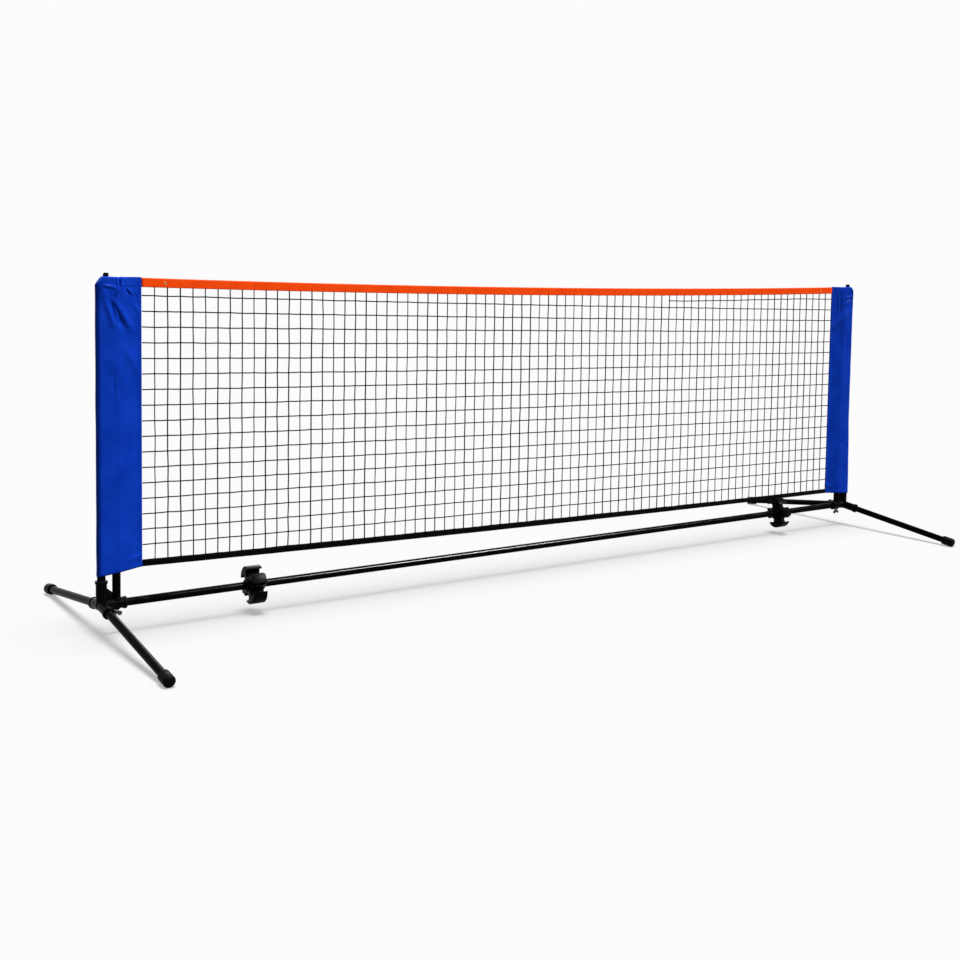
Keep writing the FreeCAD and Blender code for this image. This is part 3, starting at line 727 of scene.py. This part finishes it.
class Sleeve:
    # one sleeve: a pocket of cloth round the post and the inner upright, closed along the net;
    # runs are the lengths of cloth round a quarter of the post, to the shoulder, down the taper,
    # along the seam and across its end
    runs = (19.3, 46.0, 53.0, 12.0, 1.7)

    def __init__(self, side, sign):
        self.side, self.sign = side, sign
        self.half = sum(self.runs)
        self.flared = side == "right"

    def girth(self, z):
        # post radius and shoulder half width; the right sleeve's foot is pulled over the socket's rim
        if not self.flared:
            return SLEEVE_R, SLEEVE_R
        wide = 1 - smooth_step(RIM_TOP + 1.5, RIM_TOP + FLARE_TALL, z)
        return SLEEVE_R + FLARE * wide, SLEEVE_R + FLARE_SHOULDER * wide

    def outline(self, d, z):
        # place on the cloth's outline: local x from the post's axis, half width, and the way out
        r, shoulder = self.girth(z)
        if d < self.runs[0]:
            a = math.pi / 2 * d / self.runs[0]
            return -r * math.cos(a), r * math.sin(a), (-math.cos(a), math.sin(a))
        d -= self.runs[0]
        stops = [(0, r), (SHOULDER_X, shoulder), (SEAM_X, SEAM_HALF), (REACH, SEAM_HALF), (REACH, 0)]
        for (x0, y0), (x1, y1), length in zip(stops, stops[1:], self.runs[1:]):
            if d <= length + 1e-6:
                t = d / length
                return x0 + t * (x1 - x0), y0 + t * (y1 - y0), (0, 1)
            d -= length
        return REACH, 0, (0, 1)

    def top(self, x):
        # top edge, cut down towards the outer corner, with a small dip where the seam gathers
        across = x + SLEEVE_R
        uneven = 0.5 * (0.5 + noise.noise(Vector((across / 14, self.sign, 0))))
        return SLEEVE_TOP - CUT_SLOPE * max(0.0, CUT_START - x) - 0.9 * bell(across, 60, 5) - uneven

    def hem(self, x):
        outer, inner = HEMS[self.side]
        return outer + (inner - outer) * (x + SLEEVE_R) / (REACH + SLEEVE_R)

    def lift(self, x, y, side_y, z):
        # how far the cloth stands off the plain outline
        across, down = x + SLEEVE_R, self.top(x) - z
        folds = (FRONT_FOLDS if side_y < 0 else BACK_FOLDS)[self.side]
        out = fold_height(folds, across, down)
        # top band: double cloth, drawn in at its sewn line, with puckers under it
        out += 0.5 * (1 - smooth_step(BAND - 1.7, BAND + 0.5, down))
        out -= 0.7 * bell(down, BAND, 1.3)
        ripple = math.sin(across * 2 * math.pi / 9 + 3 * noise.noise(Vector((across / 20, 3, side_y))))
        out += 0.45 * ripple * bell(down, BAND + 1.5, 7) * smooth_step(30, 60, across)
        # hem: the same, and a slanting fold over it near the net
        above = z - self.hem(x)
        out += 0.4 * (1 - smooth_step(HEM_BAND - 1.2, HEM_BAND + 0.4, above))
        out -= 0.5 * bell(above, HEM_BAND, 1.1)
        out += 0.3 * ripple * bell(above, HEM_BAND + 2, 7)
        slant = 27 + 0.12 * (across - 90)
        out += 2.6 * bell(above, slant, 6) * smooth_step(66, 112, across)
        # slow waves over the whole cloth
        out += 0.9 * noise.noise(Vector((across / 38, z / 95, 2.0 * side_y + self.sign)))
        # drawn in along the seam beside the net, and pressed flat under its two sewn lines
        for line in SEAM_LINES:
            out -= 0.35 * bell(x, line, 0.9)
        out *= 1 - smooth_step(REACH - 6, REACH, x) * 0.85
        return max(out, -self.room(x, y, z))

    def room(self, x, y, z):
        # how far the cloth can sink before it meets a tube or the socket's rim
        tube = 0.0
        if self.flared and z < RIM_TOP + 8 and abs(x) < RIM_R:
            tube = math.sqrt(RIM_R ** 2 - x ** 2)
        for middle in (0.0, POST - UPRIGHT):
            if abs(x - middle) < TUBE_R:
                tube = max(tube, math.sqrt(TUBE_R ** 2 - (x - middle) ** 2))
        if x < -TUBE_R:
            return 0.2
        return max(0.1, y - tube - 1.0) if y > 2.5 else 0.3

    def place(self, a, z, proud=0.0):
        # a runs from the seam in front (0) round the post (0.5) to the seam behind (1)
        d = abs(a - 0.5) * 2 * self.half
        side_y = -1 if a < 0.5 else 1
        x, y, way = self.outline(d, z)
        out = self.lift(x, y, side_y, z) + proud
        if abs(a - 0.5) > 0.4999:
            out = 0.0
        x2, y2 = x + way[0] * out, y + way[1] * out
        return Vector((self.sign * (POST - x2), side_y * y2, z))

    def top_turn(self, y):
        return min(TOP_TURN, 0.55 * y)

    def over_top(self, a, share):
        # the closed top: the cloth turns in over the post and meets in the middle
        d = abs(a - 0.5) * 2 * self.half
        side_y = -1 if a < 0.5 else 1
        x, y, _ = self.outline(d, SLEEVE_TOP)
        turn = self.top_turn(y)
        top = self.top(x)
        start = self.place(a, top - turn)
        reach = abs(start.y)
        if share < 0.45:
            b = share / 0.45 * math.pi / 2
            y2, z2 = reach - turn * (1 - math.cos(b)), top - turn * (1 - math.sin(b))
        else:
            t = (share - 0.45) / 0.55
            y2, z2 = (reach - turn) * (1 - t), top
        return Vector((start.x, side_y * max(0.0, y2), z2))

    def make(self):
        bm = bmesh.new()
        cloth_map = bm.loops.layers.uv.new("cloth")
        columns, rows, lid_rows = 132, 236, 12
        bmesh.ops.create_grid(bm, x_segments=columns, y_segments=rows, size=0.5)
        spot = {}
        wall_share = 1 - lid_rows / rows
        for v in bm.verts:
            a, b = v.co.x + 0.5, v.co.y + 0.5
            d = abs(a - 0.5) * 2 * self.half
            x, y, _ = self.outline(d, SLEEVE_TOP)
            if b <= wall_share + 1e-6:
                # rows lie closer together towards the top, where the folds are
                rise = 1 - (1 - b / wall_share) ** 1.35
                low, high = self.hem(x), self.top(x) - self.top_turn(y)
                z = low + (high - low) * rise
                v.co = self.place(a, z)
            else:
                v.co = self.over_top(a, (b - wall_share) / (1 - wall_share))
                z = v.co.z
            over = abs(v.co.y) if b > wall_share else 0.0
            spot[v] = ((a - 0.5) * 2 * self.half / 1000, (z + over) / 1000)
        for face in bm.faces:
            for loop in face.loops:
                loop[cloth_map].uv = spot[loop.vert]
        # hole for the post cap's knob
        knob = Vector((self.sign * (POST - CAP_IN), 0))
        gone = [f for f in bm.faces if f.calc_center_median().z > LID_LOW
                and (f.calc_center_median().xy - knob).length < KNOB_HOLE_R - 0.3]
        bmesh.ops.delete(bm, geom=gone, context="FACES")
        bmesh.ops.remove_doubles(bm, verts=bm.verts, dist=0.004)
        for v in bm.verts:
            reach = v.co.xy - knob
            if v.is_boundary and v.co.z > LID_LOW and reach.length < KNOB_HOLE_R + 2.5:
                v.co.xy = knob + reach.normalized() * KNOB_HOLE_R
        if self.sign < 0:
            # mirrored to the left, the faces would look inwards
            bmesh.ops.reverse_faces(bm, faces=bm.faces)
        name = "sleeve_%s_cloth" % self.side
        piece = finished(name, bm, blue_cloth, "net_set", ["sleeve_" + self.side],
                         sharp=180, closed=False)
        cloth_wall(piece, CLOTH_THICK)
        return piece

    def sewn(self, d, side_y, z):
        # a stitch's place: d millimetres of cloth from the post, just proud of the cloth
        return self.place(0.5 + side_y * d / (2 * self.half), z, 0.1)

    def seams(self):
        # sewn lines: under the top band, along the hem, and two along the seam beside the net
        threads = []
        steps, tall_steps = 60, 120
        for side_y in (-1, 1):
            band, hem = [], []
            for i in range(steps + 1):
                # from 14 mm beside the post's outer line to 4 mm short of the net
                d = 14 + i * (self.half - 18) / steps
                x = self.outline(d, SLEEVE_TOP)[0]
                band.append(self.sewn(d, side_y, self.top(x) - BAND))
                hem.append(self.sewn(d, side_y, self.hem(x) + HEM_BAND))
            threads += stitches(band, (0, side_y, 0)) + stitches(hem, (0, side_y, 0))
            for x in SEAM_LINES:
                d = sum(self.runs[:3]) + (x - SEAM_X)
                low, high = self.hem(x) + 3, self.top(x) - 4
                line = [self.sewn(d, side_y, low + (high - low) * i / tall_steps)
                        for i in range(tall_steps + 1)]
                threads += stitches(line, (0, side_y, 0))
        # buttonhole thread round the knob, wound over the cloth's edge
        knob = Vector((self.sign * (POST - CAP_IN), 0, SLEEVE_TOP - 0.4))
        turns = 48
        for i in range(turns):
            angle = i * 2 * math.pi / turns
            way = Vector((math.cos(angle), math.sin(angle), 0))
            threads.append([knob + way * (KNOB_HOLE_R - 0.05),
                            knob + way * (KNOB_HOLE_R + 0.8) + Vector((0, 0, 0.7)),
                            knob + way * (KNOB_HOLE_R + 1.9)])
        return twine("sleeve_%s_seams" % self.side, threads, SLEEVE_THREAD_R, blue_thread, pinch=0.6)


for side, sign in SIDES:
    sleeve = Sleeve(side, sign)
    cloth = sleeve.make()
    seam = sleeve.seams()

# CAD nodes that keep their own shape

TUBES = ["rail_left", "rail_middle", "rail_right"]
for side, sign in SIDES:
    TUBES += ["post_" + side, "upright_" + side, "leg_front_" + side, "leg_back_" + side]
for names, finish in ((TUBES, coated_steel), (["arm_washers"], zinc_steel),
                      (["upright_plug_left", "upright_plug_right"], moulded_black)):
    for name in names:
        nodes[name].data.materials.clear()
        nodes[name].data.materials.append(finish)

# Floor, light and camera

PALE = "#fcfcfc"
GLOW = 0.42              # share of the floor's look that doesn't depend on light
SKY_LIGHT = 0.1          # strength at which the pale surroundings light the object


def looked_at(tree):
    # 1 for the camera and for what metal and glass show, 0 for light that falls on the object
    path = node(tree, "LightPath")
    direct = node(tree, "Math", {"operation": "MAXIMUM"},
                  {0: path.outputs["Is Camera Ray"], 1: path.outputs["Is Glossy Ray"]})
    seen = node(tree, "Math", {"operation": "MAXIMUM"},
                {0: direct.outputs[0], 1: path.outputs["Is Transmission Ray"]})
    return seen.outputs[0]


# the floor is drawn nearly as bright as the background and throws back less light than it shows
made, tree = blank("plain_white_studio_floor")
seen = looked_at(tree)
share = node(tree, "Math", {"operation": "MULTIPLY", 1: GLOW}, {0: seen})
tone = node(tree, "Mix", {"data_type": "RGBA", 6: hex_colour("#808080"), 7: hex_colour("#f3f3f3")},
            {"Factor": seen})
paint = node(tree, "BsdfDiffuse", links={"Color": tone.outputs[2]})
glow = node(tree, "Emission", {"Color": hex_colour(PALE), "Strength": 1.0})
mixed = node(tree, "MixShader", links={0: share.outputs[0], 1: paint.outputs["BSDF"],
                                       2: glow.outputs["Emission"]})
node(tree, "OutputMaterial", links={"Surface": mixed.outputs["Shader"]})
bm = bmesh.new()
bmesh.ops.create_grid(bm, x_segments=1, y_segments=1, size=20)
mesh = bpy.data.meshes.new("studio_floor")
bm.to_mesh(mesh)
bm.free()
mesh.materials.append(made)
floor = bpy.data.objects.new("studio_floor", mesh)
bpy.context.scene.collection.objects.link(floor)

world = bpy.data.worlds.new("white_studio")
bpy.context.scene.world = world
world.use_nodes = True
tree = world.node_tree
tree.nodes.clear()
level = node(tree, "MapRange", {"To Min": SKY_LIGHT, "To Max": 1.0}, {"Value": looked_at(tree)})
sky = node(tree, "Background", {"Color": hex_colour(PALE)}, {"Strength": level.outputs["Result"]})
node(tree, "OutputWorld", links={"Surface": sky.outputs["Background"]})


def lamp(kind, name, place, target, settings):
    # places are metres; a sun shines along the line from place to target
    light = bpy.data.lights.new(name, kind)
    for key, value in settings.items():
        setattr(light, key, value)
    made = bpy.data.objects.new(name, light)
    made.location = place
    made.rotation_mode = "QUATERNION"
    made.rotation_quaternion = (Vector(target) - Vector(place)).to_track_quat("-Z", "Y")
    bpy.context.scene.collection.objects.link(made)
    return made


MIDDLE = (0, 0, 0)
KEY_PLACE = (2.1, -1.75, 2.9)
lamp("SUN", "overhead_light", (0.3, -0.1, 4), MIDDLE, {"energy": 3.1, "angle": math.radians(30)})
front = lamp("AREA", "front_softbox", (-0.9, -3.6, 2.0), (-0.2, 0, 0.6),
             {"energy": 16, "shape": "RECTANGLE", "size": 2.2, "size_y": 1.6})
key = lamp("SUN", "key_light", KEY_PLACE, MIDDLE, {"energy": 4.7, "angle": math.radians(7)})
back = lamp("SUN", "back_light", (1.0, 3.0, 1.8), MIDDLE, {"energy": 2.3, "angle": math.radians(40)})
# a small strong source that only the tubes' gloss shows, as the thin bright line along the rail
strip = lamp("SUN", "strip_softbox", KEY_PLACE, MIDDLE, {"energy": 70, "angle": math.radians(14)})
strip.visible_diffuse = False
tubes = bpy.data.collections.new("coated_steel_tubes")
for name in TUBES:
    tubes.objects.link(nodes[name])
strip.light_linking.receiver_collection = tubes
# these three light the object only, so that the floor stays even
flagged = bpy.data.collections.new("floor_flagged_off")
flagged.objects.link(floor)
flagged.collection_objects[0].light_linking.link_state = "EXCLUDE"
for light in (front, key, back):
    light.light_linking.receiver_collection = flagged

# the camera stands where the photograph was taken from, by a fit to the net's and frame's corners
lens = bpy.data.cameras.new("photo_camera")
lens.lens = 46.367
lens.sensor_width = 36.0
lens.shift_x = -0.01131
lens.shift_y = -0.12185
lens.clip_start, lens.clip_end = 0.05, 60
camera = bpy.data.objects.new("photo_camera", lens)
right = Vector((0.8221835, -0.56900419, 0.01576466))
up = Vector((0.02552209, 0.06451713, 0.99759018))
ahead = Vector((0.56865008, 0.81979984, -0.06756709))
turn = Matrix((right, up, -ahead)).transposed().to_4x4()
camera.matrix_world = Matrix.Translation((-2.47962, -3.22439, 0.95532)) @ turn
bpy.context.scene.collection.objects.link(camera)
bpy.context.scene.camera = camera
bpy.context.scene.view_settings.view_transform = "Standard"
